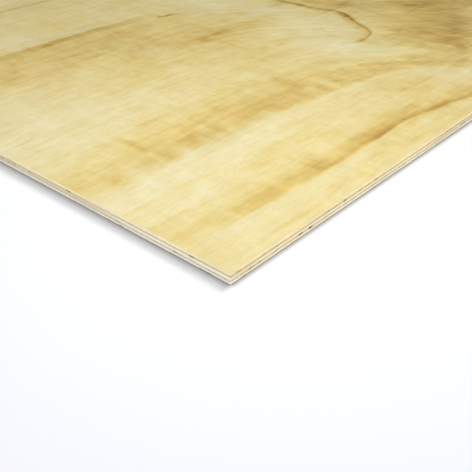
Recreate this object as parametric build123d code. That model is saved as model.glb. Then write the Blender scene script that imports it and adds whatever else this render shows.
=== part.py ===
"""Full sheet of five-ply pine plywood, lying flat with its sanded face up.

Lengths are millimetres. X runs along the sheet, the way the face grain runs, Y runs across it and Z is up.
The origin is the middle of the underside. Five veneers are laid with their grain crossed and pressed into
one sheet: face, crossband, centre, crossband, back. Each crossband is laid from strips of veneer, side by
side along the sheet, and the core gaps between the strips show as small dark holes in the sawn long edges.
"""

import os
from itertools import cycle

from build123d import *

# Sheet size
SHEET_LENGTH = 2440.0
SHEET_WIDTH = 1220.0

# Veneer thicknesses
FACE_THICKNESS = 2.4
UPPER_CROSSBAND_THICKNESS = 2.4
CENTRE_THICKNESS = 2.4
LOWER_CROSSBAND_THICKNESS = 2.4
BACK_THICKNESS = 2.4

# Sanded-off sharpness of the outer edges of the face and the back
ARRIS_RADIUS = 0.4

# Veneer strips of the crossbands, in the order they are laid from the low X end, and the gaps between them
UPPER_STRIP_WIDTHS = (174.0, 460.0, 776.0, 628.0, 540.0)
LOWER_STRIP_WIDTHS = (114.0, 610.0, 570.0, 666.0, 700.0)
UPPER_CORE_GAP = 4.0
LOWER_CORE_GAP = 7.0

# Heights of the ply undersides, worked out from the floor up
LOWER_CROSSBAND_BASE = BACK_THICKNESS
CENTRE_BASE = LOWER_CROSSBAND_BASE + LOWER_CROSSBAND_THICKNESS
UPPER_CROSSBAND_BASE = CENTRE_BASE + CENTRE_THICKNESS
FACE_BASE = UPPER_CROSSBAND_BASE + UPPER_CROSSBAND_THICKNESS

ON_BASE = (Align.CENTER, Align.CENTER, Align.MIN)


def whole_veneer(thickness, base):
    """One veneer as large as the sheet, its underside at the height base."""
    return Pos(0, 0, base) * Box(SHEET_LENGTH, SHEET_WIDTH, thickness, align=ON_BASE)


def outer_veneer(thickness, base, outside):
    """A face or back veneer. Outside is the end of Z, 1 or -1, whose four edges are eased by sanding."""
    veneer = whole_veneer(thickness, base)
    outer_face = veneer.faces().sort_by(Axis.Z)[-1 if outside > 0 else 0]
    return fillet(outer_face.edges(), ARRIS_RADIUS)


def crossband(thickness, base, strip_widths, core_gap):
    """Strips of veneer with their grain across the sheet, laid side by side until it is covered.

    A core gap is left at each joint, and the last strip is cut off where the sheet ends.
    """
    far_end = SHEET_LENGTH / 2
    start = -far_end
    strips = []
    for width in cycle(strip_widths):
        end = min(start + width, far_end)
        strip = Box(end - start, SHEET_WIDTH, thickness, align=ON_BASE)
        strips.append(Pos((start + end) / 2, 0, base) * strip)
        start = end + core_gap
        if start >= far_end:
            break
    return Compound(children=strips)


plies = {
    "face_veneer": outer_veneer(FACE_THICKNESS, FACE_BASE, outside=1),
    "upper_crossband": crossband(
        UPPER_CROSSBAND_THICKNESS, UPPER_CROSSBAND_BASE, UPPER_STRIP_WIDTHS, UPPER_CORE_GAP
    ),
    "centre_veneer": whole_veneer(CENTRE_THICKNESS, CENTRE_BASE),
    "lower_crossband": crossband(
        LOWER_CROSSBAND_THICKNESS, LOWER_CROSSBAND_BASE, LOWER_STRIP_WIDTHS, LOWER_CORE_GAP
    ),
    "back_veneer": outer_veneer(BACK_THICKNESS, 0, outside=-1),
}

os.makedirs("parts", exist_ok=True)
for name, ply in plies.items():
    export_step(ply, f"parts/{name}.step")
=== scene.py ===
"""Looks of a sheet of five-ply pine plywood lying on a pale floor.

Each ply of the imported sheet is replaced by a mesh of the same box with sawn, pitted edges and wandering glue
lines. The wood is procedural. Its figure is laid out in millimetres from the near corner of the sheet, which
is the low X, low Y corner: "along" runs with the face grain, "across" runs over it and "up" is the height.
"""

import math

import bpy
import numpy as np
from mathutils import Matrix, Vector


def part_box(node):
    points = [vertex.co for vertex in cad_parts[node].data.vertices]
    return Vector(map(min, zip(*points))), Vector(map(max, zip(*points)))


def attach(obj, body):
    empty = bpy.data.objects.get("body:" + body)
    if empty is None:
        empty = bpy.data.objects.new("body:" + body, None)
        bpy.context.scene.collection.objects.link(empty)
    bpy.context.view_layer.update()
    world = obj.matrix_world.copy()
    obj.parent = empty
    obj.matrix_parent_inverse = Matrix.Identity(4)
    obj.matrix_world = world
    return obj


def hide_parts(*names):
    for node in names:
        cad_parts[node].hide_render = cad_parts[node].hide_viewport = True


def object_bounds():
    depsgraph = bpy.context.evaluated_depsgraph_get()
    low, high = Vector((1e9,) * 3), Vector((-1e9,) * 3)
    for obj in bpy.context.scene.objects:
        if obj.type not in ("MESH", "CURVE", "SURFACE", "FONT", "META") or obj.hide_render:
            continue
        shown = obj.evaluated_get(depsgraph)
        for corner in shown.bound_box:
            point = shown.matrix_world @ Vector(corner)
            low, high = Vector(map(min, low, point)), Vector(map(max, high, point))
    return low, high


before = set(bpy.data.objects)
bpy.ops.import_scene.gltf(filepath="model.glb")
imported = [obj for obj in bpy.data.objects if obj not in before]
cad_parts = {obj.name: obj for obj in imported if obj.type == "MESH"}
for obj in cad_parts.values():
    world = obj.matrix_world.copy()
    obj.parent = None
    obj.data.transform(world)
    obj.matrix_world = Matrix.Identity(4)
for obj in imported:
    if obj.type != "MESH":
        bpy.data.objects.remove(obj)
cad_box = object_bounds()
SHEET_LOW, SHEET_HIGH = cad_box
SHEET_LENGTH, SHEET_WIDTH, _ = SHEET_HIGH - SHEET_LOW
PERIMETER = 2 * (SHEET_LENGTH + SHEET_WIDTH)
NEAR_CORNER = Vector((SHEET_LOW.x, SHEET_LOW.y, SHEET_HIGH.z))
MM = 0.001
LENGTH_MM = SHEET_LENGTH / MM
WIDTH_MM = SHEET_WIDTH / MM
PLY_COUNT = 5

# Mesh of the plies: steps along a sawn edge, rows up it, and the coarse cells of the flat faces
EDGE_STEP = 1.0 * MM
EDGE_ROWS = 6
CAP_CELL = 61.0 * MM
# Places this near are the same place: the distance, and the digits of a metre that show it
SAME_PLACE = 0.01 * MM
SAME_PLACE_DIGITS = 5
# Material slots of a ply
TOP_SLOT, LONG_SLOT, END_SLOT, UNDER_SLOT = range(4)

# Eased outer edges, their chips, glue lines and saw marks
ARRIS_RADIUS = 0.4 * MM
ARRIS_TURNS = (30, 60, 90)
ARRIS_SWAY = 0.3
CHIP_DEPTH = 0.9 * MM
CHIP_START = 0.55
CHIP_LENGTH = 6 * MM
CHIP_GROUP_LENGTH = 170 * MM
CHIP_GROUP_LIFT = 0.2
GLUE_LINE_WANDER = 0.12 * MM
GLUE_LINE_WAVELENGTHS = (31 * MM, 130 * MM)
SAW_WANDER = 0.06 * MM
SAW_WAVELENGTH = 20 * MM
PIT_DEPTH = 1.2 * MM
# Seeds of their noises
CHIP_SEED = 70
CHIP_GROUP_SEED = 80
SAW_SEED = 90
GLUE_SEED_STEP = 10

# Sides of a slab, counted against the clock from the near long edge
NEAR_LONG, FAR_END, FAR_LONG, NEAR_END = range(4)
SIDE_NORMALS = ((0, -1), (1, 0), (0, 1), (-1, 0))

# Pits in the sawn edges that face the camera: millimetres from the near corner, half length, middle and half
# height as shares of the ply, share of the full depth
PITS = {
    ("upper_crossband_ply", NEAR_LONG): (
        (12, 4, 0.5, 0.35, 0.7),
        (64, 5, 0.4, 0.35, 0.3),
        (148, 3, 0.5, 0.35, 0.5),
        (160, 3, 0.5, 0.3, 0.5),
    ),
    ("lower_crossband_ply", NEAR_LONG): (
        (28, 5, 0.5, 0.35, 0.7),
        (40, 3, 0.5, 0.35, 0.5),
        (64, 6, 0.5, 0.45, 0.45),
        (102, 5, 0.5, 0.5, 0.9),
    ),
    ("upper_crossband_ply", NEAR_END): ((48, 5, 0.4, 0.35, 0.8), (226, 6, 0.6, 0.45, 0.8)),
    ("lower_crossband_ply", NEAR_END): ((70, 4, 0.5, 0.4, 0.6), (150, 6, 0.5, 0.4, 0.5)),
}
# Further pits strewn by chance: how many a metre, from and to in millimetres
STREWN_PITS = {
    ("upper_crossband_ply", NEAR_LONG): (24, 190, LENGTH_MM),
    ("upper_crossband_ply", FAR_LONG): (24, 0, LENGTH_MM),
    ("upper_crossband_ply", NEAR_END): (10, 60, WIDTH_MM),
    ("upper_crossband_ply", FAR_END): (10, 0, WIDTH_MM),
    ("centre_ply", NEAR_LONG): (60, 372, 560),
    ("centre_ply", NEAR_END): (70, 280, 430),
    ("centre_ply", FAR_LONG): (8, 0, LENGTH_MM),
    ("centre_ply", FAR_END): (16, 0, WIDTH_MM),
    ("lower_crossband_ply", NEAR_LONG): (24, 130, LENGTH_MM),
    ("lower_crossband_ply", FAR_LONG): (24, 0, LENGTH_MM),
    ("lower_crossband_ply", NEAR_END): (10, 60, WIDTH_MM),
    ("lower_crossband_ply", FAR_END): (10, 0, WIDTH_MM),
}
# Their ranges: half length, middle, half height and share of the depth, which is raised to a power
STREWN_HALF_LENGTH = (1.5, 5.0)
STREWN_LEVEL = (0.25, 0.75)
STREWN_HALF_HEIGHT = (0.2, 0.5)
STREWN_DEPTH = (0.3, 1.0)
STREWN_DEPTH_POWER = 1.5

# Figure of the face. Tone 0 is pale wood, tone 1 brown wood
BASE_TONE = 0.36
# Broad soft patches: along, across, half length, half width, change of tone and any tilt in degrees
TONE_PATCHES = (
    (60, 30, 150, 40, -0.08), (400, 20, 180, 40, 0.16), (70, 112, 120, 24, -0.28),
    (90, 162, 340, 48, -0.44), (470, 105, 90, 45, 0.36, -10), (560, 140, 170, 60, 0.20, -24),
    (570, 195, 70, 60, -0.20), (540, 270, 70, 80, -0.36), (575, 350, 45, 28, -0.24, 20),
    (625, 375, 80, 180, -0.22, 8), (575, 560, 90, 100, -0.36), (40, 345, 320, 150, -0.32),
    (270, 420, 180, 80, 0.20), (435, 375, 130, 190, 0.26), (100, 455, 80, 50, -0.26),
    (450, 447, 140, 60, 0.24), (530, 450, 130, 80, 0.16), (690, 190, 170, 140, 0.44),
    (860, 260, 300, 330, 0.56), (840, 280, 120, 90, 0.26), (700, 430, 90, 110, 0.34),
    (230, 650, 120, 34, -0.18), (315, 664, 90, 32, 0.22), (350, 770, 160, 40, 0.02),
    (255, 710, 60, 40, -0.10), (360, 800, 70, 18, -0.16), (340, 548, 130, 28, 0.14),
    (280, 20, 120, 24, 0.12), (150, 88, 110, 40, -0.12), (430, 705, 70, 46, -0.14),
    (355, 488, 56, 40, 0.12), (320, 282, 60, 30, 0.12), (460, 285, 46, 44, -0.14),
    (800, 300, 56, 56, 0.12),
)
# Small marks, the same numbers: first those of the near ring and the pale wood beside it
MARKS = (
    (75, 68, 34, 12, 0.06), (114, 70, 24, 15, 0.12), (210, 66, 36, 16, 0.16), (350, 64, 22, 14, 0.06),
    (420, 62, 40, 18, 0.12, -10), (110, 13, 60, 8, 0.20), (345, 14, 34, 9, 0.24),
    (258, 112, 44, 16, 0.24), (90, 115, 11, 20, -0.24), (65, 170, 12, 20, -0.16),
    (185, 155, 22, 14, -0.14), (390, 30, 28, 14, -0.24), (60, 47, 30, 10, -0.16, -20),
    (70, 43, 110, 14, -0.20), (210, 37, 120, 13, -0.26), (222, 142, 44, 16, -0.18),
    (465, 82, 64, 18, 0.24), (500, 52, 40, 20, 0.16), (345, 42, 54, 18, 0.10), (620, 112, 40, 24, 0.12),
    (340, 172, 30, 16, 0.14), (440, 150, 40, 18, -0.12), (580, 84, 44, 18, 0.18),
    # Middle ring: pale teeth, brown patches and thin lines
    (67, 203, 14, 28, -0.26), (141, 194, 14, 19, -0.28), (281, 188, 14, 20, -0.24),
    (413, 192, 14, 36, -0.30), (45, 203, 18, 10, 0.22, 20), (75, 232, 26, 15, 0.12),
    (118, 196, 14, 17, 0.26), (112, 247, 11, 36, 0.24), (157, 197, 16, 14, 0.28),
    (170, 215, 32, 10, 0.16), (250, 246, 13, 26, 0.13, 20), (310, 192, 34, 17, 0.14, -15),
    (376, 236, 28, 40, 0.26, -15), (398, 184, 14, 24, 0.15), (430, 176, 15, 28, 0.13, 20),
    (250, 385, 60, 14, 0.18), (55, 230, 70, 20, -0.12), (500, 230, 30, 22, 0.18),
    # Brown wood beyond it
    (142, 440, 28, 20, 0.20), (220, 470, 32, 26, -0.22), (522, 374, 56, 30, -0.24),
    (540, 530, 40, 30, 0.15), (180, 352, 64, 16, -0.14), (60, 320, 34, 20, -0.12),
    (60, 410, 34, 20, -0.12), (160, 276, 40, 20, 0.12), (222, 230, 34, 14, -0.12),
    (280, 629, 110, 13, -0.12), (463, 342, 15, 22, 0.20, 10), (490, 336, 20, 5, 0.30),
    (435, 447, 20, 30, 0.20), (472, 446, 44, 11, 0.20), (404, 452, 32, 13, 0.16),
    (308, 465, 10, 28, 0.24, -30), (342, 488, 9, 26, 0.20, -25), (258, 534, 48, 7, 0.32),
    (271, 507, 9, 5, 0.34), (196, 585, 22, 15, 0.20), (255, 597, 22, 11, 0.26),
    (135, 520, 44, 30, 0.16, 20),
    # Pitch, and marks round the whorl
    (612, 310, 30, 44, -0.18), (600, 470, 52, 32, -0.18), (785, 195, 30, 26, 0.16),
    (662, 478, 26, 32, 0.26), (655, 335, 26, 46, -0.14), (545, 470, 26, 20, -0.14),
    (740, 290, 30, 24, -0.16), (481, 570, 22, 8, 0.90), (466, 575, 11, 7, 0.50, 30),
    (735, 385, 40, 22, 0.26, 20), (730, 360, 60, 60, 0.16), (703, 440, 16, 26, 0.16),
    (806, 235, 60, 40, 0.08), (680, 140, 60, 40, 0.26), (586, 256, 24, 14, 0.78),
    (742, 172, 36, 24, 0.12), (486, 165, 9, 6, 0.22), (461, 101, 10, 5, 0.14), (460, 118, 10, 5, 0.12),
    (506, 96, 12, 6, 0.14), (559, 342, 24, 12, -0.20, 20), (558, 247, 20, 12, -0.18),
)
# Drawn lines: their points, half width of the core, half width with the soft rim, change of tone
STROKES = (
    # Thin lines inside the whorl
    (((646, 364), (666, 368), (684, 362)), 1, 6, 0.18),
    (((676, 356), (671, 344), (651, 325), (641, 306), (626, 274)), 1, 6, 0.16),
    (((612, 258), (590, 272), (576, 292), (582, 314), (596, 335)), 1, 7, 0.15),
    (((613, 440), (628, 422), (617, 394)), 1, 7, 0.10),
    # Grain that sinks past the whorl
    (((545, 430), (562, 449), (590, 449), (603, 438)), 4, 18, 0.14),
    (((548, 262), (566, 245), (576, 219), (594, 183), (606, 160)), 6, 22, -0.20),
    (((500, 194), (526, 178), (546, 156), (569, 129), (579, 117), (617, 91)), 3, 13, 0.20),
    (((494, 176), (498, 163), (511, 157), (534, 141)), 2, 9, 0.18),
    (((423, 195), (440, 176), (446, 166), (465, 163)), 3, 12, 0.16),
    (((529, 137), (545, 105), (577, 71)), 8, 24, -0.16),
    (((647, 170), (657, 142)), 3, 9, -0.18),
    (((667, 126), (657, 115), (640, 111)), 4, 12, 0.20),
    (((690, 202), (712, 187), (716, 173), (735, 154)), 3, 18, 0.13),
    (((671, 219), (670, 200)), 1, 8, 0.20),
    (((628, 238), (638, 234), (654, 232), (672, 235)), 1, 8, 0.18),
    (((780, 345), (794, 332), (803, 317), (797, 295), (808, 288)), 2, 11, 0.17),
    # Dark foot of the near ring, and thin lines along the grain
    (((320, 53), (380, 50), (410, 47), (440, 39), (480, 30), (540, 14)), 2, 12, 0.18),
    (((150, 284), (200, 281)), 0.5, 5, 0.18),
    (((268, 289), (310, 284)), 0.5, 5, 0.22),
    (((276, 279), (296, 277)), 0.5, 4, 0.18),
    (((325, 309), (360, 307)), 0.5, 5, 0.20),
    (((338, 276), (378, 275)), 0.5, 5, 0.18),
    (((250, 347), (299, 344)), 0.5, 5, 0.24),
    (((157, 346), (195, 342)), 0.5, 5, 0.16),
    (((112, 264), (116, 228), (125, 210), (125, 188)), 3, 12, 0.12),
    (((20, 332), (130, 331)), 0.5, 5, 0.10),
    (((0, 139), (50, 140), (130, 136)), 1, 6, 0.14),
    (((200, 127), (330, 131)), 1, 8, 0.10),
    (((0, 104), (60, 104)), 0.5, 5, 0.12),
    (((145, 122), (173, 111), (207, 97)), 1, 7, 0.16),
    (((96, 95), (124, 92), (145, 86)), 1, 7, 0.16),
    (((243, 112), (276, 104), (304, 95)), 1, 7, 0.14),
    (((181, 21), (210, 15), (240, 8)), 2, 10, 0.16),
    (((210, 100), (300, 97)), 0.5, 5, 0.16),
)
# Growth rings: their edge, and their strength along the sheet
NEAR_RING_LINE = (
    (0, 57), (60, 53), (150, 51), (250, 47), (330, 49), (400, 46), (440, 37), (480, 28), (620, 0),
)
NEAR_RING_STRENGTH = (
    (0, 0.10), (60, 0.22), (110, 0.44), (180, 0.60), (260, 0.58), (340, 0.62), (430, 0.50), (560, 0.42),
)
MIDDLE_RING_LINE = (
    (0, 185), (80, 187), (150, 189), (250, 182), (320, 173), (400, 166), (450, 157), (500, 147),
    (560, 124), (620, 106), (760, 60),
)
MIDDLE_RING_STRENGTH = (
    (0, 0.24), (100, 0.32), (160, 0.42), (300, 0.44), (450, 0.32), (540, 0.14), (640, 0.10),
)
FAR_RING_LINE = ((0, 613), (190, 612), (330, 608), (430, 603), (640, 600))
FAR_RING_STRENGTH = ((0, 0.26), (190, 0.32), (330, 0.36), (440, 0.22), (520, 0.12), (620, 0.0))
FAR_RING_RESIN = ((0, 0.4), (190, 0.62), (280, 0.70), (350, 0.62), (420, 0.35), (460, 0.0))
BACK_RING_LINE = ((0, 800), (300, 797), (420, 794), (640, 790))
# Bands beside these lines: how far past its line each rises and fades, and its height if not 1
NEAR_RING_BAND = ((-3, 3), (2, 52))
MIDDLE_RING_BAND = ((-6, 12), (38, 124))
FAR_RING_BAND = ((-3, 3), (50, 200))
FAR_RESIN_BAND = ((-4, 2), (2, 24), 0.85)
BACK_RESIN_BAND = ((-7, 0), (0, 8), 0.80)
# Change of tone and of light where there is resin
RESIN_TONE = 0.46
RESIN_SHADE = -0.12
# How far the grain sinks towards the near edge to pass the knot, along the sheet
GRAIN_SINK = (
    (0, 0), (430, 0), (500, 18), (580, 70), (660, 140), (760, 225), (880, 310), (1010, 300),
    (1200, 140), (1420, 0), (1500, 0),
)
# Where across the sheet the sink sets in and where it ends
SINK_START = (60, 170)
SINK_END = (300, 900)
# Full heights of the curves that hold a line and the sink
LINE_TOP = 1000
SINK_TOP = 400
# Brown wood round the knot whose grain is faint: an oval, as above, and the change of the grain
CALM_WOOD = (820, 240, 290, 300)
CALMING = -0.65
# Resin line of the knot whorl by place across: where along it lies, its strength and its orange side's
WHORL_LINE = (
    (252, 596), (256, 614), (261, 628), (268, 636), (277, 643), (302, 656), (326, 671), (351, 686),
    (374, 688), (394, 682), (416, 675), (439, 676), (464, 673), (560, 672),
)
WHORL_STRENGTH = (
    (252, 0.0), (257, 0.40), (300, 0.44), (360, 0.40), (410, 0.44), (452, 0.74), (490, 0.5), (560, 0.3),
)
WHORL_SIDE = ((252, 0.1), (258, 0.36), (300, 0.46), (335, 0.66), (355, 0.48), (385, 0.10), (560, 0.0))
WHORL_BAND = ((-11, 0), (0, 10))
WHORL_SIDE_BAND = ((-26, -4), (-2, 4))
# Lighter and darker places of the same tone: the same numbers, with the change of light. They are partly
# painted shade and light standing for light that falls off across the sheet, partly the wood's own lighter and
# darker places
PAINTED_SHADE_AND_WOOD_PATCHES = (
    (90, 210, 140, 40, -0.05), (240, 192, 220, 36, -0.06), (310, 565, 130, 80, -0.05),
    (320, 622, 140, 36, -0.05), (785, 192, 70, 40, -0.12), (735, 365, 70, 60, -0.13),
    (775, 325, 40, 30, -0.08), (700, 180, 40, 50, 0.07), (360, 755, 80, 40, -0.05),
    (360, 800, 90, 40, -0.06), (580, 175, 70, 40, 0.07), (500, 205, 60, 40, 0.06),
    (600, 380, 50, 80, 0.06), (500, 320, 90, 90, 0.04), (440, 48, 60, 24, 0.05),
    (660, 475, 40, 30, -0.08), (320, 248, 80, 40, -0.06), (350, 490, 70, 50, -0.07),
    (270, 530, 70, 40, -0.05), (705, 388, 40, 30, -0.08), (830, 290, 44, 34, -0.08),
    (660, 230, 34, 24, -0.07), (745, 170, 44, 30, -0.09), (865, 230, 54, 44, -0.10),
    (620, 110, 44, 24, -0.07), (540, 380, 50, 40, 0.06), (620, 320, 40, 50, 0.05),
    (540, 260, 44, 34, 0.06), (820, 230, 34, 26, 0.06), (460, 530, 40, 26, 0.06),
)
# Redder places, the same way: the change of green
WARM_PLACES = (
    (170, 520, 90, 80, -0.05), (345, 480, 60, 50, -0.035), (140, 440, 50, 40, -0.035),
)
# Where the listed figure gives way to the plain one: along plus a share of across, from and to
AWAY_SLANT = 0.88
AWAY = (1090, 1260)

# Noises of the face: length and width of their blotches in millimetres, octaves, roughness and seed
TEETH = (30, 60, 2, 0.5, 2.2)
WISPS = (130, 12, 3, 0.5, 7.7)
BARS = (14, 60, 3, 0.5, 4.4)
GRAIN_NOISES = {
    "streaks": (130, 11, 3, 0.5, 1.3),
    "threads": (55, 2.6, 2, 0.6, 3.1),
    "clouds": (46, 32, 3, 0.55, 9.2),
    "mottle": (19, 12, 3, 0.6, 19.4),
    "speckle": (18, 6, 5, 0.9, 15.1),
    "fibres": (24, 1.4, 3, 0.6, 5.9),
    "hue": (26, 15, 2, 0.5, 23.7),
    "dashes": (75, 3.2, 1, 0.5, 27.1),
}
# How far teeth and wisps move the figure, in millimetres
RAGGED_TEETH, RAGGED_WISPS = 7, 7
TORN_TEETH, TORN_WISPS, TORN_ALONG = 40, 24, 100
SPOT_TEETH, SPOT_ALONG = 6, 16
DRAWN_WISPS, DRAWN_ALONG = 3, 7
WHORL_WISPS = 5
# How much each noise of the grain moves tone and light, and red, green and blue
CLOUD_TONE, CLOUD_LIGHT = 0.42, -0.06
MOTTLE_TONE, MOTTLE_LIGHT = 0.38, -0.08
STREAK_TONE, STREAK_LIGHT = 0.17, -0.05
THREAD_TONE, THREAD_LIGHT = 0.05, -0.10
BAR_TONE, BAR_LIGHT = 0.12, -0.10
SPECKLE_LIGHT = 0.30
DASH_LIGHT = -0.05
HUE_SWINGS = (0.05, -0.02, -0.04)
# Smooth steps: a noise from and to, or tone or place from and to with the share of mottle there
CRISP_STREAKS = (0.3, 0.7)
CRISP_BARS = (0.36, 0.64)
CRISP_DASHES = (0.62, 0.74)
MOTTLE_BY_TONE = (0.0, 0.7, 0.65, 1.0)
MOTTLE_BY_PLACE = (110, 220, 0.8, 1.0)
MOTTLE_AWAY = -0.5

# Plain figure of the rest: its noises, where a ring rises and fades as shares of the spacing, its strength,
# its spacing and moves in millimetres, its tone, and the seeds of face and back
PLAIN_NOISES = {
    "sway": (800, 300, 1, 0.5, 0.0),
    "wander": (200, 60, 2, 0.5, 1.5),
    "strength": (420, 170, 2, 0.5, 3.7),
    "cloud": (330, 130, 2, 0.5, 5.1),
}
PLAIN_RING = ((0.0, 0.05), (0.1, 0.85))
PLAIN_STRENGTH = (0.35, 0.65, 0.1, 0.55)
PLAIN_SPACING = 130
PLAIN_SWAY = 520
PLAIN_WANDER = 50
PLAIN_TONE = 0.24
PLAIN_CLOUD = 0.5
FACE_SEED = 11.3
BACK_SEED = 31.7
# Noises of the underside, and how much each moves its tone
BACK_STREAKS, BACK_STREAK_TONE = (75, 5, 3, 0.55, 41.3), 0.42
BACK_CLOUDS, BACK_CLOUD_TONE = (34, 20, 3, 0.6, 49.2), 0.36
BACK_FIBRES, BACK_FIBRE_TONE = (26, 1.1, 2, 0.5, 45.9), 0.16
# Noises of the sawn edges and the glued faces, and how much each moves the light
EDGE_CLOUDS, EDGE_CLOUD_LIGHT = (45, 6, 3, 0.5, 0.0), 0.36
END_GRAIN = (0.9, 1.6, 3, 0.65, 2.3)
LONG_GRAIN = (26, 0.35, 3, 0.6, 2.3)
EDGE_GRAIN_LIGHT = 0.30
EDGE_SPECKS = (4.5, 1.1, 2, 0.6, 4.9)
CROSSED_SPECK_LIGHT, SPECK_LIGHT = 0.9, 0.3
GLUED_FIBRES, GLUED_LIGHT = (26, 1.1, 2, 0.5, 61.9), 0.5
PLY_SEED_STEP = 10.0
LONG_EDGE_SEED, END_EDGE_SEED = 3, 8

# Gloss and relief of the wood, and roughness: a noise from and to, the roughness from and to
WOOD_SPECULAR = 0.04
BUMP_STRENGTH = 0.5
SANDED_RELIEF = 0.12 * MM
SAWN_RELIEF = 0.15 * MM
FIBRE_RELIEF, BAR_RELIEF = 0.6, 0.4
FACE_ROUGHNESS = (0.3, 0.7, 0.52, 0.66)
BACK_ROUGHNESS = (0.3, 0.7, 0.55, 0.7)
EDGE_ROUGHNESS = (0.3, 0.7, 0.7, 0.85)
GLUED_ROUGHNESS = (0.3, 0.7, 0.74, 0.86)

# Wood colours by tone
PINE = (
    (-0.30, (233, 224, 190)),
    (0.00, (230, 218, 171)),
    (0.23, (228, 213, 158)),
    (0.43, (226, 208, 146)),
    (0.63, (223, 201, 132)),
    (0.83, (217, 190, 117)),
    (1.00, (208, 178, 101)),
    (1.30, (180, 147, 76)),
    (1.80, (122, 94, 48)),
)
# Sawn edges of the plies: middle colour on the long edges and on the ends. The ends are set cooler and mostly
# paler, partly as painted cool light falling on them and partly as the ply's own colour
EDGE_COLOURS = {
    "face_ply": ((232, 214, 173), (234, 223, 184)),
    "upper_crossband_ply": ((198, 180, 142), (201, 186, 158)),
    "centre_ply": ((229, 216, 180), (237, 228, 208)),
    "lower_crossband_ply": ((203, 190, 152), (206, 197, 171)),
    "back_ply": ((244, 236, 208), (242, 236, 219)),
}
GLUE_COLOUR = (180, 166, 130)
# Colour deep in the pits: dark resin together with painted shade in the hollow
PIT_RESIN_AND_SHADE_COLOUR = (146, 127, 90)
# Colour by the depth of a pit, which is dark resin and painted shade in the hollow, and light by the distance
# from a glue line, both as smooth steps
PIT_SHADE = (0.05, 0.8)
GLUE_SHADE = (0.0, 0.12, 0.86, 1.0)
# Brown stretches of the centre ply: bands along and across, and the clouds that break them up
STAIN = (((330, 380), (560, 640)), ((120, 205), (430, 520)))
STAIN_CLOUDS = (0.3, 0.55)
STAIN_COLOUR = (208, 191, 152)


def linear(red, green, blue):
    """A colour of 0 to 255 sRGB levels as a linear RGBA tuple."""
    levels = (red / 255, green / 255, blue / 255)
    return tuple(v / 12.92 if v <= 0.04045 else ((v + 0.055) / 1.055) ** 2.4 for v in levels) + (1.0,)


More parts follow.
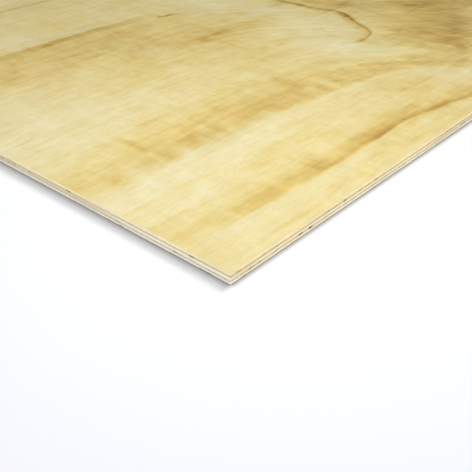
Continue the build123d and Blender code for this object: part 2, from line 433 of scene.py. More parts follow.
class Wood:
    """A material under construction: short calls that add nodes and return their output sockets."""

    def __init__(self, name):
        self.material = bpy.data.materials.new(name)
        self.material.use_nodes = True
        self.tree = self.material.node_tree
        self.tree.nodes.clear()
        self.shader = self.add("BsdfPrincipled")
        output = self.add("OutputMaterial")
        self.tree.links.new(self.shader.outputs["BSDF"], output.inputs["Surface"])

    def add(self, kind, **settings):
        node = self.tree.nodes.new("ShaderNode" + kind)
        for name, value in settings.items():
            setattr(node, name, value)
        return node

    def feed(self, socket, value):
        """Links a socket to another one, or sets it to a plain value."""
        if isinstance(value, bpy.types.NodeSocket):
            self.tree.links.new(value, socket)
        else:
            socket.default_value = value

    def wire(self, node, *values):
        """The node with the values fed into its first inputs."""
        for socket, value in zip(node.inputs, values):
            self.feed(socket, value)
        return node

    def math(self, operation, *values):
        return self.wire(self.add("Math", operation=operation), *values).outputs[0]

    def plus(self, a, b):
        return self.math("ADD", a, b)

    def less(self, a, b):
        return self.math("SUBTRACT", a, b)

    def times(self, a, b):
        return self.math("MULTIPLY", a, b)

    def times_plus(self, a, b, c):
        return self.math("MULTIPLY_ADD", a, b, c)

    def swing(self, value, noise, amount):
        """The value moved by a noise of 0 to 1, up and down by half the amount."""
        return self.times_plus(noise, amount, self.plus(value, -amount / 2))

    def swing_within(self, value, noise, amount, share):
        """The same as far as a share of 0 to 1 lets it."""
        return self.times_plus(self.times_plus(noise, amount, -amount / 2), share, value)

    def vector(self, x, y, z=0.0):
        return self.wire(self.add("CombineXYZ"), x, y, z).outputs[0]

    def vectors(self, operation, *values):
        node = self.wire(self.add("VectorMath", operation=operation), *values)
        return node.outputs["Value" if operation in ("DOT_PRODUCT", "DISTANCE") else "Vector"]

    def place(self):
        """Along, across and up, in millimetres from the near corner on the floor."""
        coordinates = self.add("TexCoord").outputs["Object"]
        parts = self.add("SeparateXYZ")
        self.feed(parts.inputs[0], coordinates)
        return [self.times_plus(part, 1 / MM, -low / MM) for part, low in zip(parts.outputs, SHEET_LOW)]

    def attribute(self, name):
        return self.add("Attribute", attribute_name=name).outputs["Fac"]

    def noise(self, along, across, length, width, detail, roughness, seed, shift=0.0):
        """Noise from 0 to 1 whose blotches are about length by width millimetres. Shift moves its seed."""
        node = self.add("TexNoise", noise_dimensions="3D")
        spot = self.vector(self.times(along, 1 / length), self.times(across, 1 / width), seed + shift)
        self.feed(node.inputs["Vector"], spot)
        node.inputs["Scale"].default_value = 1.0
        node.inputs["Detail"].default_value = detail
        node.inputs["Roughness"].default_value = roughness
        return node.outputs["Fac"]

    def ease(self, value, start, end, low=0.0, high=1.0):
        """A smooth step from low at start to high at end."""
        node = self.add("MapRange", interpolation_type="SMOOTHSTEP")
        self.feed(node.inputs["Value"], value)
        for name, setting in (("From Min", start), ("From Max", end), ("To Min", low), ("To Max", high)):
            node.inputs[name].default_value = setting
        return node.outputs["Result"]

    def band(self, past, rise, fade, top=1.0):
        """A band beside a line, by the distance past it: where it rises to the top and where it fades."""
        return self.times(self.ease(past, *rise), self.ease(past, *fade, top, 0.0))

    def patch(self, spot, along, across, half_length, half_width, tilt=0):
        """A soft oval: 1 in its middle, 0 outside."""
        oval = self.add("Mapping", vector_type="TEXTURE")
        self.feed(oval.inputs["Vector"], spot)
        oval.inputs["Location"].default_value = (along, across, 0)
        oval.inputs["Rotation"].default_value = (0, 0, math.radians(tilt))
        oval.inputs["Scale"].default_value = (half_length, half_width, 1)
        ball = self.add("TexGradient", gradient_type="SPHERICAL")
        self.feed(ball.inputs["Vector"], oval.outputs[0])
        return self.ease(ball.outputs["Fac"], 0.0, 1.0)

    def patched(self, value, spot, patches):
        """The value changed by soft ovals: the four numbers of each, its change and any tilt."""
        for along, across, half_length, half_width, change, *tilt in patches:
            oval = self.patch(spot, along, across, half_length, half_width, *tilt)
            value = self.times_plus(oval, change, value)
        return value

    def stroke(self, spot, points, core, rim):
        """A drawn line through points: 1 within the core's half width of it, 0 beyond the rim's."""
        nearest = None
        for (x0, y0), (x1, y1) in zip(points, points[1:]):
            span = (x1 - x0, y1 - y0, 0)
            from_start = self.vectors("SUBTRACT", spot, (x0, y0, 0))
            share = self.vectors("DOT_PRODUCT", from_start, span)
            share = self.times(share, 1 / (span[0] ** 2 + span[1] ** 2))
            share = self.math("MINIMUM", self.math("MAXIMUM", share, 0.0), 1.0)
            distance = self.vectors("DISTANCE", from_start, self.scaled(span, share))
            nearest = self.math("MINIMUM", nearest, distance) if nearest else distance
        return self.ease(nearest, core, rim, 1.0, 0.0)

    def curve(self, value, points, top=1.0):
        """A smooth line through given points whose heights run from 0 to top."""
        start, end = points[0][0], points[-1][0]
        node = self.add("FloatCurve")
        self.feed(node.inputs["Value"], self.times_plus(value, 1 / (end - start), -start / (end - start)))
        node.mapping.extend = "HORIZONTAL"
        line = node.mapping.curves[0]
        while len(line.points) < len(points):
            line.points.new(0.5, 0.5)
        for point, (x, y) in zip(line.points, points):
            point.location = ((x - start) / (end - start), y / top)
        node.mapping.update()
        return self.times(node.outputs[0], top)

    def ramp(self, value, stops):
        """Colours at stops along the value."""
        start, end = stops[0][0], stops[-1][0]
        node = self.add("ValToRGB")
        self.feed(node.inputs[0], self.times_plus(value, 1 / (end - start), -start / (end - start)))
        elements = node.color_ramp.elements
        while len(elements) < len(stops):
            elements.new(0.5)
        for element, (position, colour) in zip(elements, stops):
            element.position = (position - start) / (end - start)
            element.color = linear(*colour)
        return node.outputs["Color"]

    def blend(self, share, first, second):
        """The first colour where the share is 0, the second one where it is 1."""
        node = self.add("Mix", data_type="RGBA")
        for number, value in ((0, share), (6, first), (7, second)):
            self.feed(node.inputs[number], value)
        return node.outputs[2]

    def scaled(self, vector, amount):
        """A vector or colour times an amount."""
        node = self.add("VectorMath", operation="SCALE")
        self.feed(node.inputs[0], vector)
        self.feed(node.inputs["Scale"], amount)
        return node.outputs[0]

    def finish(self, colour, roughness, bump, depth):
        """Wires the colour, roughness and relief up to the shader."""
        self.feed(self.shader.inputs["Base Color"], colour)
        self.feed(self.shader.inputs["Roughness"], roughness)
        self.shader.inputs["Specular IOR Level"].default_value = WOOD_SPECULAR
        relief = self.add("Bump")
        relief.inputs["Strength"].default_value = BUMP_STRENGTH
        relief.inputs["Distance"].default_value = depth
        self.feed(relief.inputs["Height"], bump)
        self.feed(self.shader.inputs["Normal"], relief.outputs[0])
        return self.material


def ring(wood, along, across, line, strength, band):
    """A growth ring cut lengthways: deeper wood in a band past a line across the sheet."""
    past = wood.less(across, wood.curve(along, line, LINE_TOP))
    return wood.times(wood.band(past, *band), wood.curve(along, strength))


def under_far_ring(wood, along, ragged):
    """How far a place lies on the near side of the far ring's line."""
    return wood.less(wood.curve(along, FAR_RING_LINE, LINE_TOP), ragged)


def rest_of_sheet(wood, along, across, seed):
    """Tone of plain rotary-cut figure: rings that wander along the sheet."""
    noises = {name: wood.noise(along, across, *settings, seed) for name, settings in PLAIN_NOISES.items()}
    moved = wood.times_plus(noises["sway"], PLAIN_SWAY, across)
    turns = wood.times(wood.times_plus(noises["wander"], PLAIN_WANDER, moved), 1 / PLAIN_SPACING)
    rings = wood.band(wood.math("FRACT", turns), *PLAIN_RING)
    strength = wood.ease(noises["strength"], *PLAIN_STRENGTH)
    return wood.swing(wood.times_plus(rings, strength, PLAIN_TONE), noises["cloud"], PLAIN_CLOUD)


def resin_streaks(wood, along, ragged):
    """Share of resin from 0 to 1 at the edges of the two far rings."""
    far = wood.band(under_far_ring(wood, along, ragged), *FAR_RESIN_BAND)
    far = wood.times(far, wood.curve(along, FAR_RING_RESIN))
    past_back = wood.less(ragged, wood.curve(along, BACK_RING_LINE, LINE_TOP))
    return wood.math("MAXIMUM", far, wood.band(past_back, *BACK_RESIN_BAND))


def whorl(wood, along, across, wisps):
    """Tone that the resin line of the knot whorl adds, with the orange wood on its near side."""
    over = wood.swing(across, wisps, WHORL_WISPS)
    past = wood.less(wood.swing(along, wisps, WHORL_WISPS), wood.curve(over, WHORL_LINE, LINE_TOP))
    tone = wood.times(wood.band(past, *WHORL_BAND), wood.curve(over, WHORL_STRENGTH))
    return wood.times_plus(wood.band(past, *WHORL_SIDE_BAND), wood.curve(over, WHORL_SIDE), tone)


def photographed_figure(wood, along, ragged, torn, spot, drawn):
    """Tone of the near part of the face, laid out one by one."""
    tone = wood.patched(BASE_TONE, torn, TONE_PATCHES)
    tone = wood.patched(tone, spot, MARKS)
    for points, core, rim, change in STROKES:
        tone = wood.times_plus(wood.stroke(drawn, points, core, rim), change, tone)
    near = ring(wood, along, ragged, NEAR_RING_LINE, NEAR_RING_STRENGTH, NEAR_RING_BAND)
    middle = ring(wood, along, ragged, MIDDLE_RING_LINE, MIDDLE_RING_STRENGTH, MIDDLE_RING_BAND)
    tone = wood.plus(wood.plus(tone, near), middle)
    far = wood.band(under_far_ring(wood, along, ragged), *FAR_RING_BAND)
    return wood.times_plus(far, wood.curve(along, FAR_RING_STRENGTH), tone)


def sunk_grain(wood, along, across, ragged):
    """Place across the grain, which sinks towards the near edge to pass the knot."""
    sink = wood.times(wood.curve(along, GRAIN_SINK, SINK_TOP), wood.ease(across, *SINK_START))
    sink = wood.times(sink, wood.ease(across, *SINK_END, 1.0, 0.0))
    return wood.plus(ragged, sink)


def grained_tone(wood, tone, noises, lively, mottled):
    """The tone with the grain in it."""
    tone = wood.swing(tone, noises["clouds"], CLOUD_TONE)
    tone = wood.swing_within(tone, wood.ease(noises["streaks"], *CRISP_STREAKS), STREAK_TONE, lively)
    tone = wood.swing_within(tone, noises["threads"], THREAD_TONE, lively)
    tone = wood.swing_within(tone, noises["mottle"], MOTTLE_TONE, mottled)
    return wood.swing_within(tone, wood.ease(noises["bars"], *CRISP_BARS), BAR_TONE, mottled)


def grained_light(wood, light, noises, lively, mottled):
    """The light with the grain in it."""
    light = wood.swing(light, noises["clouds"], CLOUD_LIGHT)
    light = wood.swing(light, noises["mottle"], MOTTLE_LIGHT)
    light = wood.swing_within(light, noises["speckle"], SPECKLE_LIGHT, lively)
    light = wood.swing_within(light, noises["streaks"], STREAK_LIGHT, lively)
    light = wood.swing_within(light, noises["threads"], THREAD_LIGHT, lively)
    light = wood.swing_within(light, noises["bars"], BAR_LIGHT, mottled)
    dashes = wood.ease(noises["dashes"], *CRISP_DASHES)
    return wood.times_plus(wood.times(dashes, lively), DASH_LIGHT, light)


def face_tint(wood, torn, hue):
    """Factors of red, green and blue: the wandering hue and the redder places."""
    red, green, blue = [wood.swing(1.0, hue, amount) for amount in HUE_SWINGS]
    return wood.vector(red, wood.patched(green, torn, WARM_PLACES), blue)


def face_wood():
    """Sanded rotary-cut pine: the listed figure near the corner and wandering rings on the rest."""
    wood = Wood("sanded_pine_face")
    along, across, _ = wood.place()
    teeth = wood.noise(along, across, *TEETH)
    wisps = wood.noise(along, across, *WISPS)
    ragged = wood.swing(wood.swing(across, teeth, RAGGED_TEETH), wisps, RAGGED_WISPS)
    torn_across = wood.swing(wood.swing(ragged, teeth, TORN_TEETH), wisps, TORN_WISPS)
    torn = wood.vector(wood.swing(along, wisps, TORN_ALONG), torn_across)
    spot = wood.vector(wood.swing(along, wisps, SPOT_ALONG), wood.swing(ragged, teeth, SPOT_TEETH))
    drawn = wood.vector(wood.swing(along, teeth, DRAWN_ALONG), wood.swing(across, wisps, DRAWN_WISPS))
    tone = photographed_figure(wood, along, ragged, torn, spot, drawn)
    resin = resin_streaks(wood, along, ragged)
    tone = wood.times_plus(resin, RESIN_TONE, tone)
    tone = wood.plus(tone, whorl(wood, along, across, wisps))
    plain = rest_of_sheet(wood, along, ragged, FACE_SEED)
    away = wood.ease(wood.times_plus(across, AWAY_SLANT, along), *AWAY)
    tone = wood.plus(wood.times(tone, wood.less(1.0, away)), wood.times(plain, away))
    grain = sunk_grain(wood, along, across, ragged)
    noises = {name: wood.noise(along, grain, *settings) for name, settings in GRAIN_NOISES.items()}
    noises["bars"] = wood.noise(along, across, *BARS)
    mottled = wood.times(wood.ease(tone, *MOTTLE_BY_TONE), wood.ease(across, *MOTTLE_BY_PLACE))
    mottled = wood.times(mottled, wood.times_plus(away, MOTTLE_AWAY, 1.0))
    lively = wood.times_plus(wood.patch(torn, *CALM_WOOD), CALMING, 1.0)
    tone = grained_tone(wood, tone, noises, lively, mottled)
    # Painted shade and light, mixed with lighter and darker wood: the patches scale the face colour
    light = wood.patched(1.0, torn, PAINTED_SHADE_AND_WOOD_PATCHES)
    light = wood.times_plus(wood.times(resin, wood.less(1.0, away)), RESIN_SHADE, light)
    light = grained_light(wood, light, noises, lively, mottled)
    colour = wood.vectors("MULTIPLY", wood.ramp(tone, PINE), face_tint(wood, torn, noises["hue"]))
    roughness = wood.ease(noises["streaks"], *FACE_ROUGHNESS)
    relief = wood.plus(wood.times(noises["fibres"], FIBRE_RELIEF), wood.times(noises["bars"], BAR_RELIEF))
    return wood.finish(wood.scaled(colour, light), roughness, relief, SANDED_RELIEF)


def back_wood():
    """The plain underside: the same pine with its own rings."""
    wood = Wood("sanded_pine_back")
    along, across, _ = wood.place()
    tone = rest_of_sheet(wood, along, across, BACK_SEED)
    streaks = wood.noise(along, across, *BACK_STREAKS)
    clouds = wood.noise(along, across, *BACK_CLOUDS)
    fibres = wood.noise(along, across, *BACK_FIBRES)
    tone = wood.swing(tone, streaks, BACK_STREAK_TONE)
    tone = wood.swing(tone, clouds, BACK_CLOUD_TONE)
    tone = wood.swing(tone, fibres, BACK_FIBRE_TONE)
    return wood.finish(wood.ramp(tone, PINE), wood.ease(streaks, *BACK_ROUGHNESS), fibres, SANDED_RELIEF)


def edge_wood(name, colour, on_end, crossed, stain, shift):
    """Sawn edge of a ply. On an end of the sheet the edge runs across it, else along it."""
    wood = Wood(name)
    along, across, up = wood.place()
    run = across if on_end else along
    cloud = wood.noise(run, up, *EDGE_CLOUDS, shift)
    grain = wood.noise(run, up, *(LONG_GRAIN if crossed == on_end else END_GRAIN), shift)
    specks = wood.noise(run, up, *EDGE_SPECKS, shift)
    light = wood.swing(wood.swing(1.0, cloud, EDGE_CLOUD_LIGHT), grain, EDGE_GRAIN_LIGHT)
    light = wood.swing(light, specks, CROSSED_SPECK_LIGHT if crossed else SPECK_LIGHT)
    tint = linear(*colour)
    if stain:
        brown = wood.times(wood.band(run, *stain), wood.ease(cloud, *STAIN_CLOUDS))
        tint = wood.blend(brown, tint, linear(*STAIN_COLOUR))
    # Pits darken with depth towards the pit colour: partly resin, partly painted shade in the hollow
    tint = wood.blend(wood.ease(wood.attribute("dent"), *PIT_SHADE), tint, linear(*PIT_RESIN_AND_SHADE_COLOUR))
    rise = wood.attribute("rise")
    off_glue = wood.math("MINIMUM", rise, wood.less(1.0, rise))
    shaded = wood.scaled(tint, wood.times(light, wood.ease(off_glue, *GLUE_SHADE)))
    return wood.finish(shaded, wood.ease(grain, *EDGE_ROUGHNESS), grain, SAWN_RELIEF)


def glued_wood():
    """Inner faces of the veneers, seen only in the core gaps."""
    wood = Wood("glued_pine")
    along, across, up = wood.place()
    fibres = wood.noise(across, wood.plus(along, up), *GLUED_FIBRES)
    colour = wood.scaled(linear(*GLUE_COLOUR)[:3], wood.swing(1.0, fibres, GLUED_LIGHT))
    return wood.finish(colour, wood.ease(fibres, *GLUED_ROUGHNESS), fibres, SANDED_RELIEF)


def smooth_noise(places, total, wavelength, seed):
    """Smooth random values from -1 to 1 at places round a closed line of that total length."""
    count = max(3, round(total / wavelength))
    knots = np.random.default_rng(seed).uniform(-1, 1, count)
    spot = np.asarray(places) / total * count
    before = np.floor(spot).astype(int)
    share = spot - before
    share = share * share * (3 - 2 * share)
    return knots[before % count] * (1 - share) + knots[(before + 1) % count] * share


def around(points, sides):
    """How far round the sheet outline points lie, counted from the near corner along the near long edge."""
    x = points[:, 0] - SHEET_LOW.x
    y = points[:, 1] - SHEET_LOW.y
    distances = np.array([x, SHEET_LENGTH + y, 2 * SHEET_LENGTH + SHEET_WIDTH - x, PERIMETER - y])
    return distances[sides, np.arange(len(points))]


def glue_line(distance, number):
    """Height by which a glue line wanders. The first and last lines are the floor and the face."""
    if number in (0, PLY_COUNT):
        return np.zeros_like(distance)
    waves = [
        smooth_noise(distance, PERIMETER, length, GLUE_SEED_STEP * number + k)
        for k, length in enumerate(GLUE_LINE_WAVELENGTHS)
    ]
    return GLUE_LINE_WANDER * sum(waves)


def strewn_pits(name, side):
    """Pits of chance places and sizes on one side of a ply."""
    per_metre, start, end = STREWN_PITS.get((name, side), (0, 0, 1))
    chance = np.random.default_rng(sum(name.encode()) + side)
    for _ in range(round(per_metre * (end - start) * MM)):
        yield (
            chance.uniform(start, end),
            chance.uniform(*STREWN_HALF_LENGTH),
            chance.uniform(*STREWN_LEVEL),
            chance.uniform(*STREWN_HALF_HEIGHT),
            chance.uniform(*STREWN_DEPTH) ** STREWN_DEPTH_POWER,
        )


class Slab:
    """One veneer or strip of it: a closed box with finely stepped sawn sides and coarse flat faces."""

    def __init__(self, low, high):
        self.low, self.high = low, high
        size = high - low
        self.cells = (max(1, round(size.x / CAP_CELL)), max(1, round(size.y / CAP_CELL)))
        corners = np.array([(low.x, low.y), (high.x, low.y), (high.x, high.y), (low.x, high.y)])
        own = (low.y, high.x, high.y, low.x)
        limits = (SHEET_LOW.y, SHEET_HIGH.x, SHEET_HIGH.y, SHEET_LOW.x)
        self.sawn = np.isclose(own, limits, atol=SAME_PLACE)
        self.steps, self.start = [], []
        outline, normals, sides = [], [], []
        for side in range(4):
            begin, end = corners[side], corners[(side + 1) % 4]
            cells = self.cells[side % 2]
            cell = np.linalg.norm(end - begin) / cells
            steps = max(1, round(cell / EDGE_STEP)) if self.sawn[side] else 1
            self.steps.append(steps)
            self.start.append(len(sides))
            shares = np.arange(cells * steps)[:, None] / (cells * steps)
            outline.append(begin + (end - begin) * shares)
            outward = np.tile(np.array(SIDE_NORMALS[side], float), (cells * steps, 1))
            outward[0] += SIDE_NORMALS[side - 1]
            normals.append(outward)
            sides += [side] * (cells * steps)
        self.outline = np.concatenate(outline)
        self.normals = np.concatenate(normals)
        self.sides = np.array(sides)
        self.count = len(sides)

    def border(self, i, j):
        """Outline point at a corner of the coarse cells, or None inside the slab."""
        nx, ny = self.cells
        if j == 0 and i < nx:
            return self.start[0] + i * self.steps[0]
        if i == nx and j < ny:
            return self.start[1] + j * self.steps[1]
        if j == ny and i > 0:
            return self.start[2] + (nx - i) * self.steps[2]
        if i == 0 and j > 0:
            return self.start[3] + (ny - j) * self.steps[3]
        return None

    def cap(self, ring_start, first_new, z):
        """Flat face over an outline ring: new vertices and faces, seen from above."""
        nx, ny = self.cells
        size = self.high - self.low
        new, faces, grid = [], [], {}

        def add(i, j):
            new.append((self.low.x + size.x * i / nx, self.low.y + size.y * j / ny, z))
            return first_new + len(new) - 1

        for i in range(nx + 1):
            for j in range(ny + 1):
                place = self.border(i, j)
                grid[i, j] = add(i, j) if place is None else ring_start + place
        for i in range(nx):
            for j in range(ny):
                turn = (
                    (grid[i, j], j == 0),
                    (grid[i + 1, j], i == nx - 1),
                    (grid[i + 1, j + 1], j == ny - 1),
                    (grid[i, j + 1], i == 0),
                )
                loop = []
                for side, (begin, on_border) in enumerate(turn):
                    loop += [begin + k for k in range(self.steps[side] if on_border else 1)]
                if len(loop) == 4:
                    faces.append(loop)
                    continue
                hub = add(i + 0.5, j + 0.5)
                faces += [[hub, a, b] for a, b in zip(loop, loop[1:] + loop[:1])]
        return new, faces


# Bake map bands, from and to up the map: the two flat faces, the four sides and the walls of the core gaps
FACE_MAP = {"top": (0.13, 1.0), "bottom": (0.104, 0.12), "sides": (0.0, 0.1)}
BACK_MAP = {"bottom": (0.13, 1.0), "top": (0.104, 0.12), "sides": (0.0, 0.1)}
INNER_MAP = {"top": (0.82, 0.88), "bottom": (0.89, 0.95), "sides": (0.0, 0.8), "walls": (0.96, 1.0)}
SIDE_BAND_FILL = 0.85
WALL_BAND = 0.002


def map_band(bands, slab, side):
    """From and to, up the bake map, of one side of a slab."""
    if slab.sawn[side]:
        low, high = bands["sides"]
        step = (high - low) / 4
        return low + step * side, low + step * (side + SIDE_BAND_FILL)
    low, high = bands["walls"]
    place = (slab.low.x if side == NEAR_END else slab.high.x) - SHEET_LOW.x
    middle = low + (high - low) * place / SHEET_LENGTH
    return middle, middle + WALL_BAND


class Ply:
    """A ply under construction: slabs joined into one mesh with its bake map and the two edge attributes."""

    def __init__(self, name, node, number, bands, arris=0):
        """Number counts the plies from the floor, and arris is the end of Z whose outer edges are eased."""
        self.name, self.node, self.number, self.bands, self.arris = name, node, number, bands, arris
        self.low, self.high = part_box(node)
        self.thickness = self.high.z - self.low.z
        self.pits = [[*PITS.get((name, side), ()), *strewn_pits(name, side)] for side in range(4)]
        self.vertices, self.faces, self.slots, self.uv, self.dent, self.rise = [], [], [], [], [], []

    def strips(self):
        """Low and high X of each separate solid of the CAD node."""
        ends = sorted({round(v.co.x, SAME_PLACE_DIGITS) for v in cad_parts[self.node].data.vertices})
        inner = [x for x in ends if x - ends[0] > 2 * ARRIS_RADIUS and ends[-1] - x > 2 * ARRIS_RADIUS]
        bounds = [self.low.x, *inner, self.high.x]
        return list(zip(bounds[0::2], bounds[1::2]))

    def profile(self, slab, distance, sawn):
        """Rows of the side from the bottom up: height over the ply's underside and inset at each point."""
        if not self.arris:
            heights = [self.thickness * k / EDGE_ROWS for k in range(EDGE_ROWS + 1)]
            return [(np.full(slab.count, height), 0.0) for height in heights]
        chips = smooth_noise(distance, PERIMETER, CHIP_LENGTH, CHIP_SEED + self.number)
        groups = smooth_noise(distance, PERIMETER, CHIP_GROUP_LENGTH, CHIP_GROUP_SEED + self.number)
        grouped = np.clip(groups + CHIP_GROUP_LIFT, 0, 1)
        chipped = np.clip(chips - CHIP_START, 0, 1) / (1 - CHIP_START) * grouped
        worn = ARRIS_RADIUS * (1 + ARRIS_SWAY * chips) + CHIP_DEPTH * chipped
        radius = np.where(sawn, worn, ARRIS_RADIUS)
        rows = [((self.thickness - radius) * k / EDGE_ROWS, 0.0) for k in range(EDGE_ROWS + 1)]
        for turn in ARRIS_TURNS:
            angle = math.radians(turn)
            rows.append((self.thickness - radius * (1 - math.sin(angle)), radius * (1 - math.cos(angle))))
        if self.arris < 0:
            rows = [(self.thickness - height, inset) for height, inset in reversed(rows)]
        return rows

    def dents(self, slab, rise):
        """Depth of the pits at one row of the outline, as a share of the full depth."""
        depth = np.zeros(slab.count)
        for side in range(4):
            if not slab.sawn[side]:
                continue
            here = slab.sides == side
            axis = side % 2
            place = (slab.outline[:, axis] - SHEET_LOW[axis]) / MM
            for middle, half_length, level, half_height, share in self.pits[side]:
                u = (place - middle) / half_length
                v = (rise - level) / half_height
                bowl = np.clip(1 - u * u, 0, 1) * np.clip(1 - v * v, 0, 1)
                depth = np.where(here, np.maximum(depth, share * bowl), depth)
        return depth

    def add_slab(self, start, end):
        slab = Slab(Vector((start, self.low.y, self.low.z)), Vector((end, self.high.y, self.high.z)))
        distance = around(slab.outline, slab.sides)
        sawn = slab.sawn[slab.sides]
        below = np.where(sawn, glue_line(distance, self.number), 0.0)
        above = np.where(sawn, glue_line(distance, self.number + 1), 0.0)
        saw = SAW_WANDER * (1 + smooth_noise(distance, PERIMETER, SAW_WAVELENGTH, SAW_SEED)) / 2
        saw = np.where(sawn, saw, 0.0)
        first = sum(len(v) for v in self.vertices)
        rows = self.profile(slab, distance, sawn)
        for height, inset in rows:
            share = height / self.thickness
            dent = self.dents(slab, share)
            z = self.low.z + height + below * (1 - share) + above * share
            inward = saw + inset + dent * PIT_DEPTH
            self.vertices.append(np.column_stack([slab.outline - slab.normals * inward[:, None], z]))
            self.dent.append(dent)
            self.rise.append(share)
        self.add_sides(slab, first, rows)
        self.add_cap(slab, first, self.low.z, "bottom", 0.0)
        self.add_cap(slab, first + (len(rows) - 1) * slab.count, self.high.z, "top", 1.0)

    def add_sides(self, slab, first, rows):
        here = np.arange(slab.count)
        after = (here + 1) % slab.count
        long_side = slab.sides % 2 == 0
        bands = np.array([map_band(self.bands, slab, side) for side in range(4)])[slab.sides]
        shares = (slab.outline - np.array(SHEET_LOW[:2])) / (SHEET_LENGTH, SHEET_WIDTH)
        u_here = np.where(long_side, shares[here, 0], shares[here, 1])
        u_after = np.where(long_side, shares[after, 0], shares[after, 1])
        slots = np.where(slab.sawn[slab.sides], np.where(long_side, LONG_SLOT, END_SLOT), UNDER_SLOT)
        for row in range(len(rows) - 1):
            base, over = first + row * slab.count, first + (row + 1) * slab.count
            self.faces += np.column_stack([base + here, base + after, over + after, over + here]).tolist()
            v_low = bands[:, 0] + (bands[:, 1] - bands[:, 0]) * row / (len(rows) - 1)
            v_high = bands[:, 0] + (bands[:, 1] - bands[:, 0]) * (row + 1) / (len(rows) - 1)
            corners = [(u_here, v_low), (u_after, v_low), (u_after, v_high), (u_here, v_high)]
            self.uv.append(np.stack([np.column_stack(c) for c in corners], axis=1).reshape(-1, 2))
            self.slots += slots.tolist()

    def add_cap(self, slab, ring_start, z, end, rise):
        first_new = sum(len(v) for v in self.vertices)
        new, faces = slab.cap(ring_start, first_new, z)
        if new:
            self.vertices.append(np.array(new))
            self.dent.append(np.zeros(len(new)))
            self.rise.append(np.full(len(new), rise))
        if end == "bottom":
            faces = [face[::-1] for face in faces]
        self.faces += faces
        self.slots += [TOP_SLOT if end == "top" else UNDER_SLOT] * len(faces)
        points = np.concatenate(self.vertices)[[v for face in faces for v in face], :2]
        low, high = self.bands[end]
        shares = (points - np.array(SHEET_LOW[:2])) / (SHEET_LENGTH, SHEET_WIDTH)
        self.uv.append(np.column_stack([shares[:, 0], low + (high - low) * shares[:, 1]]))

    def finish(self, materials, slot):
        """Builds the object. Materials are those of the top, the long edges, the ends and the underside."""
        for start, end in self.strips():
            self.add_slab(start, end)
        mesh = bpy.data.meshes.new(self.name)
        mesh.from_pydata(np.concatenate(self.vertices).tolist(), [], self.faces)
        for material in materials:
            mesh.materials.append(material)
        mesh.polygons.foreach_set("material_index", self.slots)
        bake_map = mesh.uv_layers.new(name="OFBake")
        bake_map.uv.foreach_set("vector", np.concatenate(self.uv).ravel())
        for name, values in (("dent", self.dent), ("rise", self.rise)):
            attribute = mesh.attributes.new(name, "FLOAT", "POINT")
            attribute.data.foreach_set("value", np.concatenate(values))
        mesh.update()
        piece = show(self.name, mesh)
        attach(piece, "root")
        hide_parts(self.node)


def show(name, data):
    """A new object in the scene."""
    thing = bpy.data.objects.new(name, data)
    bpy.context.scene.collection.objects.link(thing)
    return thing


def build_ply(name, node, number, bands, slot, top, underside, glued, arris=0):
    """One ply with its two sawn edge materials. The grain of the odd ones runs across the sheet."""
    long_colour, end_colour = EDGE_COLOURS[name]
    crossed = number % 2 == 1
    stains = STAIN if name == "centre_ply" else (None, None)
    seed = PLY_SEED_STEP * number
    long_edge = edge_wood(f"{name}_long_edge", long_colour, False, crossed, stains[0], seed + LONG_EDGE_SEED)
    end_edge = edge_wood(f"{name}_end_edge", end_colour, True, crossed, stains[1], seed + END_EDGE_SEED)
    materials = (top or glued, long_edge, end_edge, underside or glued)
    Ply(name, node, number, bands, arris).finish(materials, slot)


def build_plies():
    """The five plies, from the face down."""
    glued = glued_wood()
    build_ply("face_ply", "face_veneer", 4, FACE_MAP, "face", face_wood(), None, glued, arris=1)
    build_ply("upper_crossband_ply", "upper_crossband", 3, INNER_MAP, "crossband", None, None, glued)
    build_ply("centre_ply", "centre_veneer", 2, INNER_MAP, "centre", None, None, glued)
    build_ply("lower_crossband_ply", "lower_crossband", 1, INNER_MAP, "crossband", None, None, glued)
    build_ply("back_ply", "back_veneer", 0, BACK_MAP, "back", None, back_wood(), glued, arris=-1)


# Stage, light and camera
FLOOR_SIZE = 60.0
FLOOR_DROP = 0.3 * MM
FLOOR_COLOUR = (0.925, 0.935, 0.985, 1.0)
FLOOR_ROUGHNESS = 0.9
# How far the painted contact shadow reaches on the floor
CONTACT_SHADE_REACH = 9.0 * MM
ROOM_LIGHT = 0.21
# Far lights: azimuth, elevation and spread in degrees, strength
SIDE_LIGHT = (9, 41, 24, 1.85)
FRONT_LIGHT = (225, 12, 20, 2.4)
OVERHEAD_PLACE = NEAR_CORNER + Vector((0.15, 0.05, 0.55))
OVERHEAD_SIZE = 0.7
OVERHEAD_POWER = 1.75

# Camera of the photo: focal length in pixels of its side, place from the near corner, heading and pitch
PHOTO_SIDE = 472
PHOTO_FOCAL = 747.167
SENSOR_WIDTH = 36.0
CAMERA_OFFSET = Vector((-0.38986, -0.35027, 0.38635))
CAMERA_HEADING = 41.406
CAMERA_PITCH = 33.487
CLIP_START = 0.01
CLIP_END = 100.0


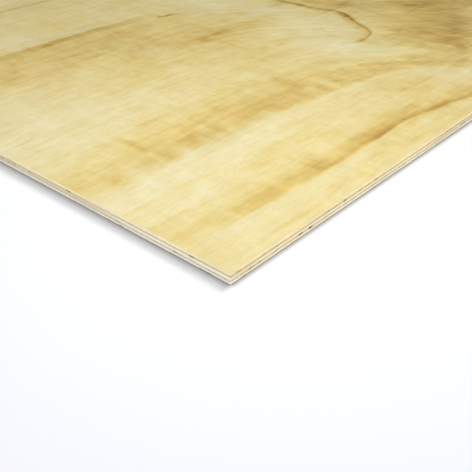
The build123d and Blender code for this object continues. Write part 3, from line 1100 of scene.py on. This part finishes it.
def lay_floor():
    """A wide pale floor with a painted contact shadow: its colour darkens a little where the sheet meets it.
    """
    half = FLOOR_SIZE / 2
    corners = [(-half, -half), (half, -half), (half, half), (-half, half)]
    mesh = bpy.data.meshes.new("floor")
    mesh.from_pydata([(x, y, SHEET_LOW.z - FLOOR_DROP) for x, y in corners], [], [(0, 1, 2, 3)])
    material = bpy.data.materials.new("white_floor")
    material.use_nodes = True
    shader = material.node_tree.nodes["Principled BSDF"]
    # Painted contact shadow: ambient occlusion darkens the floor's colour next to the sheet
    painted_contact_shadow = material.node_tree.nodes.new("ShaderNodeAmbientOcclusion")
    painted_contact_shadow.inputs["Color"].default_value = FLOOR_COLOUR
    painted_contact_shadow.inputs["Distance"].default_value = CONTACT_SHADE_REACH
    material.node_tree.links.new(painted_contact_shadow.outputs["Color"], shader.inputs["Base Color"])
    shader.inputs["Roughness"].default_value = FLOOR_ROUGHNESS
    shader.inputs["Specular IOR Level"].default_value = 0.0
    mesh.materials.append(material)
    show("floor", mesh)


def hang_light(name, kind, place, towards):
    """A lamp at a place, shining along a direction."""
    lamp = bpy.data.lights.new(name, kind)
    holder = show(name, lamp)
    holder.location = place
    holder.rotation_euler = towards.to_track_quat("-Z", "Y").to_euler()
    return lamp


def far_light(name, azimuth, elevation, spread, strength):
    """A broad light far away, seen from the sheet at an azimuth and elevation in degrees."""
    turn, rise = math.radians(azimuth), math.radians(elevation)
    source = Vector((math.cos(rise) * math.cos(turn), math.cos(rise) * math.sin(turn), math.sin(rise)))
    lamp = hang_light(name, "SUN", NEAR_CORNER + source, -source)
    lamp.angle = math.radians(spread)
    lamp.energy = strength


def light_studio():
    """Even room light, two broad far lights and a small soft lamp over the near corner."""
    world = bpy.data.worlds.new("studio")
    bpy.context.scene.world = world
    world.use_nodes = True
    room = world.node_tree.nodes["Background"]
    room.inputs["Color"].default_value = (1, 1, 1, 1)
    room.inputs["Strength"].default_value = ROOM_LIGHT
    far_light("side_light", *SIDE_LIGHT)
    far_light("front_light", *FRONT_LIGHT)
    overhead = hang_light("overhead_light", "AREA", OVERHEAD_PLACE, NEAR_CORNER - OVERHEAD_PLACE)
    overhead.shape = "DISK"
    overhead.size = OVERHEAD_SIZE
    overhead.energy = OVERHEAD_POWER


def set_camera():
    """The camera of the photo."""
    lens = bpy.data.cameras.new("camera")
    lens.sensor_width = SENSOR_WIDTH
    lens.lens = SENSOR_WIDTH * PHOTO_FOCAL / PHOTO_SIDE
    lens.clip_start = CLIP_START
    lens.clip_end = CLIP_END
    lens.dof.use_dof = False
    camera = show("camera", lens)
    camera.location = NEAR_CORNER + CAMERA_OFFSET
    camera.rotation_euler = (math.radians(90 - CAMERA_PITCH), 0.0, math.radians(CAMERA_HEADING - 90))
    bpy.context.scene.camera = camera
    bpy.context.scene.view_settings.view_transform = "Standard"


build_plies()
lay_floor()
light_studio()
set_camera()
